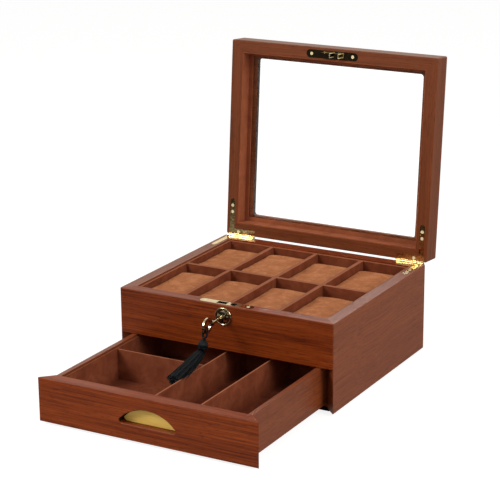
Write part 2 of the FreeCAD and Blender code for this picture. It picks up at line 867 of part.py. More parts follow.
def make_lid_front():
    cuts = [lock_plate_blank(lid_rim, lid_rim + lock_plate_thickness, plate_edge_gap)]
    cuts += seats(link_plate_screws)
    return cut_all(front_rail(lid_rim, frame_bottom).common(lid_outline), cuts)


def make_window_frame():
    x = case_width / 2 - window_side_margin
    y = case_depth / 2 - window_end_margin
    opening = block(-x, x, -y, y, frame_bottom, lid_top)
    opening = opening.makeFillet(window_corner_radius, edges_along(opening, Vector(0, 0, 1)))
    return block(left, right, front, back, frame_bottom, lid_top).common(lid_outline).cut(opening)


def make_lid_glass():
    x = tray_side - glass_edge_gap
    y = tray_end - glass_edge_gap
    return block(-x, x, -y, y, glass_bottom, frame_bottom)


def make_glass_retainer():
    return ring(tray_side, -tray_end, tray_end, retainer_width, retainer_bottom, glass_bottom)


def make_lid_lining():
    return ring(tray_side, -tray_end, tray_end, lining_thickness, lid_rim + lining_drop, retainer_bottom)


# Screw heads get their slots last, so that the holes they seat in stay plain
def slotted(screws):
    return Part.makeCompound([body.cut(slot) for body, slot, seat in screws])


def both_sides(shapes):
    return Part.makeCompound(list(shapes) + [mirrored(shape) for shape in shapes])


case_left_side = make_case_side()
lid_left_rail = make_lid_side()
drawer_left_side = make_drawer_side()

case_pieces = {
    "case_left_side": case_left_side,
    "case_right_side": mirrored(case_left_side),
    "case_front_panel": make_case_front(),
    "case_back_panel": make_case_back(),
    "case_bottom_panel": make_bottom_panel(),
    "base_board": make_base_board(),
    "tray_floor": tray_floor,
    "tray_liner": ring(tray_side, -tray_end, tray_end, tray_liner_thickness,
                       tray_floor_top, rim - tray_liner_drop),
    "tray_floor_pad": block(-slot_side, slot_side, -slot_end, slot_end, tray_floor_top, tray_pad_top),
    "lock_case": make_lock_case(),
    "lock_plate": make_lock_plate(),
    "lock_plate_screws": slotted(lock_plate_screws),
    "lock_rosette": rosette_blank.cut(keyhole(front - rosette_height, lock_case_front)),
    "lock_bolt": make_lock_bolt(),
    "hinge_left_case_leaf": case_leaf,
    "hinge_right_case_leaf": mirrored(case_leaf),
    "hinge_pins": both_sides([hinge_pin]),
    "hinge_case_screws": both_sides(slotted(case_leaf_screws).Solids),
    "key": make_key(),
}
for index in range(tray_columns - 1):
    case_pieces[f"tray_cross_divider_{index + 1}"] = make_tray_cross_divider(index)
for index in range(tray_rows - 1):
    case_pieces[f"tray_long_divider_{index + 1}"] = make_tray_long_divider(index)

tassel_loop = make_tassel_loop()
case_pieces["tassel_loop"] = tassel_loop
case_pieces["tassel_head"] = make_tassel_head().cut(tassel_loop)
case_pieces["tassel_skirt"] = make_tassel_skirt()

pillow = make_pillow()
for row in range(tray_rows):
    for column in range(tray_columns):
        placed = pillow.copy()
        placed.translate(Vector(column_centre(column), row_centre(row), tray_pad_top + pillow_seat_gap))
        case_pieces[f"watch_pillow_{row * tray_columns + column + 1}"] = placed

drawer_pieces = {
    "drawer_front": make_drawer_front(),
    "drawer_left_side": drawer_left_side,
    "drawer_right_side": mirrored(drawer_left_side),
    "drawer_back": make_drawer_back(),
    "drawer_bottom": make_drawer_floor(),
    "drawer_liner": make_drawer_liner(),
    "drawer_floor_pad": make_drawer_pad(),
    "drawer_long_divider_1": make_drawer_long_divider(long_divider_1_offset),
    "drawer_long_divider_2": make_drawer_long_divider(long_divider_2_offset),
    "drawer_cross_divider": make_drawer_cross_divider(),
    "drawer_pull_plate": make_pull_plate(),
}
for shape in drawer_pieces.values():
    shape.translate(Vector(0, -drawer_travel, 0))

lid_pieces = {
    "lid_left_rail": lid_left_rail,
    "lid_right_rail": mirrored(lid_left_rail),
    "lid_front_rail": make_lid_front(),
    "lid_back_rail": make_lid_back(),
    "lid_window_frame": make_window_frame(),
    "lid_glass": make_lid_glass(),
    "lid_lining": make_lid_lining(),
    "glass_retainer": make_glass_retainer(),
    "link_plate": make_link_plate(),
    "link_plate_screws": slotted(link_plate_screws),
    "hinge_left_lid_leaf": lid_leaf,
    "hinge_right_lid_leaf": mirrored(lid_leaf),
    "hinge_lid_screws": both_sides(slotted(lid_leaf_screws).Solids),
}
for shape in lid_pieces.values():
    shape.rotate(Vector(0, hinge_y, hinge_z), Vector(1, 0, 0), -lid_open_angle)

os.makedirs("parts", exist_ok=True)
for pieces in (case_pieces, drawer_pieces, lid_pieces):
    for name, shape in pieces.items():
        shape.exportStep(f"parts/{name}.step")
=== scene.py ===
import json
import math
import random

import bpy
import numpy as np
from mathutils import Matrix, Vector, noise

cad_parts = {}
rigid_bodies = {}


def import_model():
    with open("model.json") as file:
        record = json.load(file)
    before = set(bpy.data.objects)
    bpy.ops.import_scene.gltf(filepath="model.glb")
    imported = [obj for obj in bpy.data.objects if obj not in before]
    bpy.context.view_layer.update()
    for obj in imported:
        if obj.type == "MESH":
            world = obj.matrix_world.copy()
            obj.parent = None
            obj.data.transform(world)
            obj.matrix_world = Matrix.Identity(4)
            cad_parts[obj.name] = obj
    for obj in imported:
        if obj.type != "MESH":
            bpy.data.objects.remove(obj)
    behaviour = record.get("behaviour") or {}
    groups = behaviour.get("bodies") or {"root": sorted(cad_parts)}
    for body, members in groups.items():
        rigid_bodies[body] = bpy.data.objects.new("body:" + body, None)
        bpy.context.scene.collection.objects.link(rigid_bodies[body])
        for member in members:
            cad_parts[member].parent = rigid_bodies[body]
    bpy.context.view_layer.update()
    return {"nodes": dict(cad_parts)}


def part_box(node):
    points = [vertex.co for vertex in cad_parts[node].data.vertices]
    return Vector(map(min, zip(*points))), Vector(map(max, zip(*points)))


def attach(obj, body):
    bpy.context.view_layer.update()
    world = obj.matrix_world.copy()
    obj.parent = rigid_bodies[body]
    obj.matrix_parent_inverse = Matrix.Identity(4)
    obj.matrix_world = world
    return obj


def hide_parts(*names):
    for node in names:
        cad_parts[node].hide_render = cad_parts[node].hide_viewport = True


# Watch box with a drawer: veneered case, glazed lid, eight suede pillows, brass fittings and a tasselled key.
# Metres, +X to the right, +Y to the back, +Z up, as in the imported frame.
for leftover in list(bpy.data.objects):
    bpy.data.objects.remove(leftover)
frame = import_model()
nodes = frame["nodes"]
scene = bpy.context.scene
MM = 0.001


# Small helpers
def linear(hexa):
    """An sRGB hex colour as the linear one that the shaders take."""
    channels = [int(hexa[i:i + 2], 16) / 255 for i in (1, 3, 5)]
    return [c / 12.92 if c <= 0.04045 else ((c + 0.055) / 1.055) ** 2.4 for c in channels] + [1.0]


def add(tree, kind, links=None, ramp=None, **settings):
    """Adds one shader node, sets its values, fills its ramp and links its inputs. Sockets go by name, or by
    number where names repeat: a Mix has its numbers at 2 and 3 and its colours at 6 and 7, and a MapRange has
    the value at 0, its range at 1 and 2 and the new range at 3 and 4."""
    node = tree.nodes.new("ShaderNode" + kind)
    for key, value in settings.items():
        setattr(node, key, value)
    for index, (place, colour) in enumerate(ramp or []):
        stops = node.color_ramp.elements
        stop = stops[index] if index < 2 else stops.new(place)
        stop.position = place
        stop.color = linear(colour) if isinstance(colour, str) else (colour, colour, colour, 1.0)
    for socket, source in (links or {}).items():
        if isinstance(source, bpy.types.NodeSocket):
            tree.links.new(source, node.inputs[socket])
        else:
            node.inputs[socket].default_value = source
    return node


def start_material(name):
    """An empty material with a Principled surface, its node tree and that surface."""
    material = bpy.data.materials.new(name)
    material.use_nodes = True
    tree = material.node_tree
    tree.nodes.clear()
    skin = add(tree, "BsdfPrincipled")
    add(tree, "OutputMaterial", {"Surface": skin.outputs[0]})
    return material, tree, skin


def dress(material, *names):
    """Gives these nodes the material."""
    for name in names:
        mesh = nodes[name].data
        mesh.materials.clear()
        mesh.materials.append(material)


# Materials
def veneer(name, grain, tones, shine=0.3, sway=0.004, tilt=0.0, shift=(0, 0, 0)):
    """Sapele veneer stained red-brown under satin lacquer: straight dark grain lines 1 to 4 mm apart along
    the board, short open pores, and wide slow bands of colour. The lacquer gives a soft pale sheen at low
    angles. Grain is the axis it runs along, sway how far it wanders, tilt the board's lean."""
    material, tree, skin = start_material(name)
    place = add(tree, "TexCoord").outputs["Object"]
    board = add(tree, "Mapping", {"Vector": place, "Rotation": (tilt, 0, 0), "Location": shift}).outputs[0]
    drift = add(tree, "TexNoise", {"Vector": board, "Scale": 1 / 0.11, "Detail": 1.0})
    board = add(tree, "VectorMath", {0: drift.outputs["Color"], 1: (sway, sway, sway), 2: board},
                operation="MULTIPLY_ADD").outputs[0]

    def stretched(length, width, detail, roughness):
        scale = [1 / width] * 3
        scale[grain] = 1 / length
        spread = add(tree, "VectorMath", {0: board, 1: scale}, operation="MULTIPLY").outputs[0]
        return add(tree, "TexNoise", {"Vector": spread, "Scale": 1.0, "Detail": detail,
                                      "Roughness": roughness}).outputs["Fac"]

    bands = stretched(0.36, 0.022, 2.0, 0.5)
    lines = stretched(0.13, 0.0013, 3.0, 0.66)
    pores = stretched(0.010, 0.0009, 1.0, 0.5)
    tone = add(tree, "MapRange", {0: bands, 1: 0.3, 2: 0.7, 3: -0.08, 4: 0.08}).outputs[0]
    mixed = add(tree, "Math", {0: lines, 1: tone}, operation="ADD").outputs[0]
    colour = add(tree, "ValToRGB", {"Fac": mixed},
                 ramp=[(0.27, tones[0]), (0.76, tones[2]), (0.50, tones[1])])
    dark = add(tree, "ValToRGB", {"Fac": pores}, ramp=[(0.30, 0.62), (0.40, 1.0)])
    stained = add(tree, "Mix", {"Factor": 1.0, 6: colour.outputs[0], 7: dark.outputs[0]},
                  data_type="RGBA", blend_type="MULTIPLY").outputs[2]
    tree.links.new(stained, skin.inputs["Base Color"])
    gloss = add(tree, "MapRange", {0: lines, 1: 0.3, 2: 0.7, 3: 0.46, 4: 0.36}).outputs[0]
    tree.links.new(gloss, skin.inputs["Roughness"])
    relief = add(tree, "Bump", {"Strength": 0.22, "Distance": 0.0001, "Height": mixed}).outputs[0]
    tree.links.new(relief, skin.inputs["Normal"])
    skin.inputs["IOR"].default_value = 1.5
    skin.inputs["Specular IOR Level"].default_value = shine
    return material


def suede(name, tones, nap=0.02, fuzz=0.0005, painted_top_sheen=0.0):
    """Brushed microsuede: matt, with paler and darker strokes where the nap lies differently, a fine fuzz
    (drawn at 0.5 mm or more, coarser than the real fibres, so that it shows) and a soft bright rim from the
    raised fibres. The last argument sets how far faces that look upwards are painted paler: a painted sheen,
    as from the light above."""
    material, tree, skin = start_material(name)
    place = add(tree, "TexCoord").outputs["Object"]
    strokes = add(tree, "TexNoise", {"Vector": place, "Scale": 1 / nap, "Detail": 3.0, "Roughness": 0.6,
                                     "Distortion": 0.6}).outputs["Fac"]
    fibres = add(tree, "TexNoise", {"Vector": place, "Scale": 1 / fuzz, "Detail": 2.0}).outputs["Fac"]
    blend = add(tree, "Mix", {"Factor": 0.3, 2: strokes, 3: fibres}).outputs[0]
    colour = add(tree, "ValToRGB", {"Fac": blend},
                 ramp=[(0.34, tones[0]), (0.66, tones[2]), (0.50, tones[1])])
    up = add(tree, "SeparateXYZ", {0: add(tree, "TexCoord").outputs["Normal"]}).outputs["Z"]
    edge = add(tree, "MapRange", {0: up, 1: 0.6, 2: 0.95, 3: 0.0, 4: painted_top_sheen}).outputs[0]
    # Painted sheen: faces that look upwards are mixed towards a pale rose-brown, as if lit from above
    painted_sheen_colour = add(tree, "Mix", {"Factor": edge, 6: colour.outputs[0], 7: linear("#c98a6a")},
                 data_type="RGBA").outputs[2]
    tree.links.new(painted_sheen_colour, skin.inputs["Base Color"])
    relief = add(tree, "Bump", {"Strength": 0.5, "Distance": 0.0002, "Height": fibres}).outputs[0]
    tree.links.new(relief, skin.inputs["Normal"])
    skin.inputs["Roughness"].default_value = 0.95
    skin.inputs["Specular IOR Level"].default_value = 0.15
    skin.inputs["Sheen Weight"].default_value = 0.2
    skin.inputs["Sheen Roughness"].default_value = 0.5
    skin.inputs["Sheen Tint"].default_value = linear(tones[2])
    return material


def metal(name, tones, low, high, brushed=False, mark=0.004, relief_depth=0.00005, bare=1.0):
    """Solid metal, its roughness between low and high: a buffed one has faint wipe marks in its shine, a
    brushed one fine lines along X, drawn 0.4 mm apart. Bare is the share that mirrors as polished metal does;
    the rest scatters light, as a finely scratched or blasted face."""
    material, tree, skin = start_material(name)
    place = add(tree, "TexCoord").outputs["Object"]
    scale = (1 / 0.02, 1 / 0.0004, 1 / 0.0004) if brushed else (1 / mark, 1 / mark, 1 / mark)
    spread = add(tree, "VectorMath", {0: place, 1: scale}, operation="MULTIPLY").outputs[0]
    marks = add(tree, "TexNoise", {"Vector": spread, "Scale": 1.0, "Detail": 3.0}).outputs["Fac"]
    gloss = add(tree, "MapRange", {0: marks, 1: 0.35, 2: 0.65, 3: low, 4: high}).outputs[0]
    tint = add(tree, "ValToRGB", {"Fac": marks}, ramp=[(0.3, tones[0]), (0.7, tones[1])]).outputs[0]
    tree.links.new(gloss, skin.inputs["Roughness"])
    tree.links.new(tint, skin.inputs["Base Color"])
    strength = 0.25 if brushed else 0.06
    relief = add(tree, "Bump", {"Strength": strength, "Distance": relief_depth, "Height": marks}).outputs[0]
    tree.links.new(relief, skin.inputs["Normal"])
    skin.inputs["Metallic"].default_value = bare
    return material


def yarn(name):
    """Twisted rayon yarn dyed black with a blue cast: a slight lustre along each thread."""
    material, tree, skin = start_material(name)
    place = add(tree, "TexCoord").outputs["Object"]
    ply = add(tree, "TexNoise", {"Vector": place, "Scale": 1 / 0.0012, "Detail": 2.0}).outputs["Fac"]
    colour = add(tree, "ValToRGB", {"Fac": ply}, ramp=[(0.35, "#010204"), (0.7, "#0a1824"), (0.5, "#040a10")])
    tree.links.new(colour.outputs[0], skin.inputs["Base Color"])
    relief = add(tree, "Bump", {"Strength": 0.4, "Distance": 0.0001, "Height": ply}).outputs[0]
    tree.links.new(relief, skin.inputs["Normal"])
    skin.inputs["Roughness"].default_value = 0.34
    skin.inputs["Specular IOR Level"].default_value = 0.2
    skin.inputs["Sheen Weight"].default_value = 0.01
    skin.inputs["Sheen Roughness"].default_value = 0.4
    return material


def pane(name):
    """Clear float glass, a trace green. Shadow rays pass, so that the pane throws hardly any shadow."""
    material, tree, skin = start_material(name)
    place = add(tree, "TexCoord").outputs["Object"]
    smears = add(tree, "TexNoise", {"Vector": place, "Scale": 1 / 0.06, "Detail": 2.0}).outputs["Fac"]
    gloss = add(tree, "MapRange", {0: smears, 1: 0.4, 2: 0.8, 3: 0.0, 4: 0.015}).outputs[0]
    tree.links.new(gloss, skin.inputs["Roughness"])
    skin.inputs["Base Color"].default_value = linear("#fdfffe")
    skin.inputs["Transmission Weight"].default_value = 1.0
    skin.inputs["IOR"].default_value = 1.5
    light = add(tree, "LightPath").outputs["Is Shadow Ray"]
    clear = add(tree, "BsdfTransparent", {"Color": linear("#fbfefc")}).outputs[0]
    either = add(tree, "MixShader", {0: light, 1: skin.outputs[0], 2: clear}).outputs[0]
    output = next(node for node in tree.nodes if node.type == "OUTPUT_MATERIAL")
    tree.links.new(either, output.inputs["Surface"])
    return material


# Colours, each from dark to pale
red_brown = ("#4b1806", "#7c320c", "#984619")
even_brown = ("#69311a", "#7d3d1e", "#8b4826")
lid_brown = ("#5e2e10", "#75391a", "#834424")
near_black_brown = ("#1c0d06", "#28130a", "#36190d")
tray_brown = ("#652f1a", "#753b24", "#84472e")
pad_brown = ("#683120", "#783d27", "#884a31")
lid_suede_brown = ("#84472d", "#925135", "#9e5b3c")
drawer_brown = ("#713722", "#81442c", "#915138")
caramel = ("#9b5f3c", "#ac6d47", "#bf8058")
felt_black = ("#0b0b0c", "#131314", "#1d1d1f")

# The open lid leans back on its stop, and the grain of its rails leans with it
lid_lean = math.radians(4.76)
along_x, along_y, along_z = 0, 1, 2
front_veneer = veneer("sapele_veneer_front", along_x, red_brown, shine=0.22)
side_veneer = veneer("sapele_veneer_side", along_y, even_brown, shine=0.42, sway=0.014, shift=(0.4, 0.2, 0.1))
lid_rail_veneer = veneer("sapele_veneer_lid_rail", along_x, lid_brown, tilt=lid_lean, shift=(0.1, 0.5, 0.3))
lid_side_veneer = veneer("sapele_veneer_lid_side", along_z, lid_brown, tilt=lid_lean, shift=(0.7, 0.3, 0.2))
# Painted shade: a near-black veneer for the cut edges inside the window and the finger recess
painted_edge_shade = veneer("painted_shade_dark_edge", along_x, near_black_brown, shine=0.1)
# The tray suede and the drawer suede get a painted sheen: their upward faces are painted paler
tray_suede = suede("chestnut_microsuede", tray_brown, painted_top_sheen=0.32)
pad_suede = suede("chestnut_microsuede_pad", pad_brown)
lining_suede = suede("chestnut_microsuede_lid", lid_suede_brown)
drawer_suede = suede("chestnut_microsuede_drawer", drawer_brown, painted_top_sheen=0.3)
pillow_suede = suede("caramel_microsuede", caramel, nap=0.012, fuzz=0.0013)
base_felt = suede("black_felt", felt_black, nap=0.006)
hinge_brass = metal("buffed_brass", ("#c9a552", "#f3e6bd"), 0.05, 0.16, mark=0.0022, relief_depth=0.0012)
lock_brass = metal("pale_lacquered_brass", ("#c4b083", "#d6c69d"), 0.04, 0.1)
key_brass = metal("aged_pale_brass", ("#a39878", "#ddd3b8"), 0.03, 0.08)
screw_brass = metal("turned_screw_brass", ("#e6d6a4", "#fff3cf"), 0.4, 0.5, mark=0.0015, relief_depth=0.0005,
                    bare=0.15)
satin_brass = metal("brushed_brass", ("#ecc050", "#ffdb7c"), 0.4, 0.52, brushed=True, bare=0.12)
lock_steel = metal("zinc_plated_steel", ("#8f9294", "#b4b6b6"), 0.2, 0.35)
black_yarn = yarn("black_rayon_yarn")
lid_pane = pane("clear_float_glass")

dress(front_veneer, "case_front_panel", "case_back_panel", "case_bottom_panel", "tray_floor", "drawer_front",
      "drawer_back", "drawer_bottom")
dress(side_veneer, "case_left_side", "case_right_side", "drawer_left_side", "drawer_right_side")
dress(lid_rail_veneer, "lid_front_rail", "lid_back_rail", "lid_window_frame")
dress(lid_side_veneer, "lid_left_rail", "lid_right_rail")
dress(tray_suede, "tray_liner", "tray_long_divider_1", "tray_cross_divider_1", "tray_cross_divider_2",
      "tray_cross_divider_3")
dress(pad_suede, "tray_floor_pad", "drawer_floor_pad")
dress(lining_suede, "lid_lining", "glass_retainer")
dress(drawer_suede, "drawer_liner", "drawer_cross_divider", "drawer_long_divider_1", "drawer_long_divider_2")
dress(base_felt, "base_board")
dress(hinge_brass, "hinge_left_case_leaf", "hinge_right_case_leaf", "hinge_left_lid_leaf",
      "hinge_right_lid_leaf", "hinge_pins")
dress(lock_brass, "lock_plate", "link_plate")
dress(key_brass, "lock_rosette", "key")
dress(screw_brass, "lock_plate_screws", "link_plate_screws", "hinge_case_screws", "hinge_lid_screws")
dress(satin_brass, "drawer_pull_plate")
dress(lock_steel, "lock_case", "lock_bolt")
dress(lid_pane, "lid_glass")

# Cut edges: the window's and the finger recess's are painted near black, a painted shade; the link plate's
# faces that look to +X, at its end and the staples' ends, get a painted highlight in pale satin brass
lid_low, lid_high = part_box("lid_window_frame")
window_middle = (lid_low + lid_high) / 2
window_half_width = 0.1165
window_half_height = 0.104
window_back = lid_high.y
recess_middle = Vector((0.002, 0, 0.0316))
recess_half_width = 0.0372
recess_half_height = 0.0102
recess_back = -0.2895


def recolour(name, material, chosen):
    """Gives the node's chosen faces a second material."""
    mesh = nodes[name].data
    mesh.materials.append(material)
    for face in mesh.polygons:
        if chosen(face.center, face.normal):
            face.material_index = 1


def cut_edge(middle, half_width, half_height, back):
    """A test for the faces that edge an opening: near its middle, in front of its back, neither flat with the
    board nor a level floor."""
    def test(place, way):
        offset = place - middle
        near = abs(offset.x) < half_width and abs(offset.z) < half_height and place.y < back
        return near and abs(way.y) < 0.5 and way.z < 0.8
    return test


# Painted shade: the window's cut edges and the finger recess's walls take the near-black veneer
recolour("lid_window_frame", painted_edge_shade,
         cut_edge(window_middle, window_half_width, window_half_height, window_back))
recolour("drawer_front", painted_edge_shade,
         cut_edge(recess_middle, recess_half_width, recess_half_height, recess_back))
# Painted highlight: the link plate's faces that look to +X, its end and the staples' ends, take the pale
# satin screw brass
recolour("link_plate", screw_brass, lambda place, way: way.x > 0.95)


# Mesh helpers
def new_piece(name, verts, faces, material, body, slot):
    """A smooth piece of the scene's own, on its body and with its material; the slot argument is not used."""
    mesh = bpy.data.meshes.new(name)
    mesh.from_pydata([tuple(v) for v in verts], [], [tuple(f) for f in faces])
    mesh.validate()
    mesh.shade_smooth()
    piece = bpy.data.objects.new(name, mesh)
    scene.collection.objects.link(piece)
    mesh.materials.append(material)
    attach(piece, body)
    return piece


def points_of(piece):
    """The places of the piece's vertices, one row each."""
    flat = np.zeros(3 * len(piece.data.vertices))
    piece.data.vertices.foreach_get("co", flat)
    return flat.reshape(-1, 3)


def set_points(piece, points):
    """Moves the piece's vertices to these places."""
    piece.data.vertices.foreach_set("co", points.astype(np.float32).ravel())
    piece.data.update()


def bake_modifiers(piece):
    """Applies the piece's modifiers, as they stand at this frame."""
    shown = piece.evaluated_get(bpy.context.evaluated_depsgraph_get())
    mesh = bpy.data.meshes.new_from_object(shown)
    piece.modifiers.clear()
    piece.data = mesh


def tube_mesh(paths, radii, sides):
    """Vertices and faces of closed round tubes along the paths, which are lists of points."""
    verts, faces = [], []
    for path, radius in zip(paths, radii):
        path = np.asarray(path, float)
        count = len(path)
        ahead = np.gradient(path, axis=0)
        ahead /= np.linalg.norm(ahead, axis=1)[:, None]
        side = np.cross(ahead[0], (0.31, 0.87, 0.38))
        start = len(verts)
        for place, run in zip(path, ahead):
            side = side - run * side.dot(run)
            side /= np.linalg.norm(side)
            lift = np.cross(run, side)
            for k in range(sides):
                turn = 2 * math.pi * k / sides
                verts.append(place + radius * (math.cos(turn) * side + math.sin(turn) * lift))
        for i in range(count - 1):
            for k in range(sides):
                a, b = start + i * sides + k, start + i * sides + (k + 1) % sides
                faces.append((a, b, b + sides, a + sides))
        faces.append([start + k for k in reversed(range(sides))])
        faces.append([start + (count - 1) * sides + k for k in range(sides)])
    return verts, faces


# Watch pillows: a padded roll in microsuede between two flat side panels, sewn in along crisp seams. Sizes
# are of the cover before it is blown up. Its corners draw in by a share, and its top sags at the seams.
pillow_half_width = 27.2 * MM
pillow_half_length = 50.6 * MM
pillow_side_height = 40.8 * MM
pillow_crown = 0.8 * MM
pillow_sag = 1.2 * MM
pillow_end_radius = 15.0 * MM
pillow_foot_radius = 7.0 * MM
pillow_seam_radius = 1.2 * MM
pillow_corner_share = 0.05
pillow_panel_bulge = 1.0 * MM
pillow_grid = 3.2 * MM
pillow_ring_points = round(2 * (pillow_half_length * 2 + pillow_side_height) / pillow_grid)
pillow_panel_rings = (0.86, 0.70, 0.54, 0.38, 0.22, 0.08)
pillow_cloth_frames = 20
pillow_pressure = 3.0
pillow_swell = 1.6 * MM
pillow_lump_size = 17 * MM
pillow_lump_height = 0.4 * MM
pillow_crease_size = 6 * MM
pillow_crease_height = 0.16 * MM
slot_pitch = 61.0 * MM
slot_half_width = 28.9 * MM
slot_half_length = 52.7 * MM
tray_pad_top = 63.15 * MM
# How far each pillow is filled up, in mm, by its column from the left and its row, front then back
pillow_rises = {(-3, -1): 0.0, (-1, -1): -1.6, (1, -1): -1.2, (3, -1): -2.2,
                (-3, 1): 0.0, (-1, 1): 1.6, (1, 1): -0.9, (3, 1): -1.3}


def roll_section(inset):
    """Points round the roll, seen along X: rounded over at both ends, flatter at the foot."""
    half, top = pillow_half_length - inset, pillow_side_height - inset
    corners = [(half, inset, pillow_foot_radius, -90), (half, top, pillow_end_radius, 0),
               (-half, top, pillow_end_radius, 90), (-half, inset, pillow_foot_radius, 180)]
    ring = []
    for y, z, radius, start in corners:
        centre = (y - math.copysign(radius, y), z + (radius if z == inset else -radius))
        for step in range(6):
            turn = math.radians(start + 18 * step)
            ring.append((centre[0] + radius * math.cos(turn), centre[1] + radius * math.sin(turn)))
    ring = np.array(ring + ring[:1])
    length = np.concatenate(([0], np.cumsum(np.linalg.norm(np.diff(ring, axis=0), axis=1))))
    even = np.linspace(0, length[-1], pillow_ring_points + 1)[:-1]
    return np.array([np.interp(even, length, ring[:, k]) for k in range(2)]).T


def roll_mesh():
    """The cover's vertices and faces round the origin, and which vertices lie on the two seams."""
    edge, bend = pillow_half_width, pillow_seam_radius
    stations = [(-edge, bend), (-edge + 0.3 * bend, 0.3 * bend)]
    stations += [(x, 0.0) for x in np.linspace(-edge + bend, edge - bend, 17)]
    stations += [(edge - 0.3 * bend, 0.3 * bend), (edge, bend)]
    rings = []
    for x, inset in stations:
        ring = roll_section(inset)
        level = np.clip(1.8 - 2.2 * np.abs(ring[:, 0]) / pillow_half_length, 0, 1)
        out = x / edge
        lift = pillow_crown * (1 - out ** 2) - pillow_sag * out ** 4 * level ** 2 * (3 - 2 * level)
        lift = lift * np.clip(ring[:, 1] / pillow_side_height, 0, 1) ** 3
        draw_in = 1 - pillow_corner_share * out ** 6
        rings.append([(x, y * draw_in, z + rise) for (y, z), rise in zip(ring, lift)])
    seams = {0, len(rings) - 1}
    middle = np.array((0.0, pillow_side_height / 2))
    rims = [np.array(rings[0])[:, 1:], np.array(rings[-1])[:, 1:]]
    for shrink in pillow_panel_rings:
        bulged = edge + pillow_panel_bulge * (1 - shrink ** 2)
        rings.insert(0, [(-bulged, y, z) for y, z in middle + (rims[0] - middle) * shrink])
        rings.append([(bulged, y, z) for y, z in middle + (rims[1] - middle) * shrink])
        seams = {index + 1 for index in seams}
    count = pillow_ring_points
    faces = []
    for i in range(len(rings) - 1):
        for k in range(count):
            a, b = i * count + k, i * count + (k + 1) % count
            faces.append((a, a + count, b + count, b))
    faces.append(list(range(count)))
    faces.append([(len(rings) - 1) * count + k for k in reversed(range(count))])
    pinned = [i * count + k for i in seams for k in range(count)]
    return [point for ring in rings for point in ring], faces, pinned


def stuffed_roll():
    """One cover, blown up between its seams by a cloth simulation, with the reach of each point capped.
    Returns its points and faces, once subdivided."""
    verts, faces, pinned = roll_mesh()
    mesh = bpy.data.meshes.new("pillow_cover")
    mesh.from_pydata(verts, [], faces)
    piece = bpy.data.objects.new("pillow_cover", mesh)
    scene.collection.objects.link(piece)
    before = points_of(piece)
    piece.vertex_groups.new(name="seams").add(pinned, 1.0, "REPLACE")
    cover = piece.modifiers.new("stuffing", "CLOTH")
    cover.settings.vertex_group_mass = "seams"
    cover.settings.use_pressure = True
    cover.settings.uniform_pressure_force = pillow_pressure
    cover.settings.effector_weights.gravity = 0.0
    cover.point_cache.frame_start = 1
    cover.point_cache.frame_end = pillow_cloth_frames
    for step in range(1, pillow_cloth_frames + 1):
        scene.frame_set(step)
    bake_modifiers(piece)
    scene.frame_set(1)
    move = points_of(piece) - before
    reach = np.linalg.norm(move, axis=1)[:, None]
    set_points(piece, before + move * np.minimum(1.0, pillow_swell / np.maximum(reach, 1e-9)))
    finer = piece.modifiers.new("finer", "SUBSURF")
    finer.levels = finer.render_levels = 1
    bake_modifiers(piece)
    points = points_of(piece)
    faces = [list(face.vertices) for face in piece.data.polygons]
    bpy.data.objects.remove(piece)
    return points, faces


def make_pillow(number, cover, faces):
    """One pillow in its slot: every other one is turned about, each is filled a little differently and has
    its own lumps and creases, and none reaches into the suede around it."""
    node = f"watch_pillow_{number}"
    low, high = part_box(node)
    middle = (low + high) / 2
    turned = np.array(((1.0, 1.0, 1.0), (-1.0, -1.0, 1.0))[number % 2])
    seat = np.array((middle.x, middle.y, low.z))
    column = 2 * math.floor(middle.x / slot_pitch) + 1
    rise = pillow_rises[column, int(math.copysign(1, middle.y))] * MM
    turned[2] += rise / pillow_side_height
    piece = new_piece(f"suede_pillow_{number}", seat + cover * turned, faces, pillow_suede,
                      f"pillow_{number}", "pillow_suede")
    points = points_of(piece)
    lump_start = Vector((7.3 * number, 0, 0))
    crease_start = Vector((0, 3.1 * number, 0))
    lumps = np.array([noise.noise(Vector(p) / pillow_lump_size + lump_start) for p in points])
    creases = np.array([noise.noise(Vector(p) / pillow_crease_size + crease_start) for p in points])
    outward = np.array([v.normal for v in piece.data.vertices])
    push = pillow_lump_height * lumps + pillow_crease_height * creases
    points = points + outward * push[:, None]
    points[:, 0] = np.clip(points[:, 0], middle.x - slot_half_width, middle.x + slot_half_width)
    points[:, 1] = np.clip(points[:, 1], middle.y - slot_half_length, middle.y + slot_half_length)
    points[:, 2] = np.maximum(points[:, 2], tray_pad_top)
    set_points(piece, points)
    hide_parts(node)


pillow_cover, pillow_faces = stuffed_roll()
for number in range(1, 9):
    make_pillow(number, pillow_cover, pillow_faces)

# Tassel: a twisted cord loop through the key's bow, a bound head and a skirt of loose threads
hook = np.array((0.0, -168.789, 91.956)) * MM
knot = hook + np.array((0.0, -2.4, -7.4)) * MM
head = hook + np.array((0.0, -5.5, -14.9)) * MM
neck = head + np.array((0.0, -1.5, -5.7)) * MM
skirt_run = np.array((-9.5, -51.5, -23.1)) * MM
strand = 0.7 * MM
cord_twist = 1.9 * MM
loop_half_width = 2.7 * MM
loop_rise = 3.0 * MM
loop_leg_share = 0.36
loop_steps = 48
cord_points = 240
head_threads = 40
head_thread_radius = 0.46 * MM
binding_radius = 0.42 * MM
knot_cord_radius = 0.75 * MM
knot_bight_radius = 1.55 * MM
knot_bight_offset = 0.35 * MM
skirt_threads = 170
skirt_thread_radius = 0.42 * MM
golden_angle = 2.399963
dice = random.Random(5)


